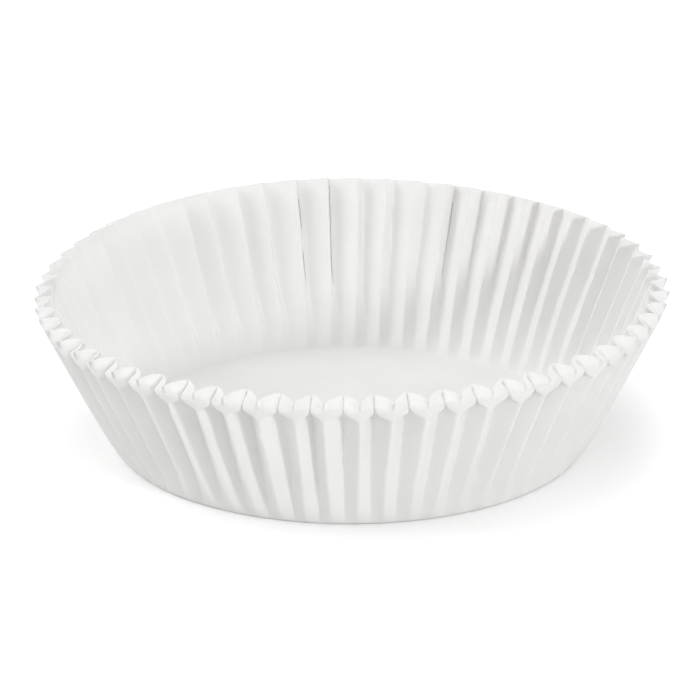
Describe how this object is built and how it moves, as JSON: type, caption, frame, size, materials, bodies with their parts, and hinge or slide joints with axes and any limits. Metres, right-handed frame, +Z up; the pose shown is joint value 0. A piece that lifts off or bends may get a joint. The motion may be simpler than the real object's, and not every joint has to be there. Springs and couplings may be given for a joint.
{
  "type": "paper baking cup",
  "caption": "Round pleated paper baking cup: a flat floor, a flared pleated wall and a rim that leans outward.",
  "frame": {"origin": "centre of the floor's underside, on the surface the cup stands on", "axes": "+Z up along the cup's axis, from the floor to the open rim"},
  "size_m": [0.1012, 0.1012, 0.0258],
  "materials": {
    "paper": "matt, uncoated"
  },
  "bodies": {
    "root": {"baking_cup": "paper"}
  },
  "joints": []
}
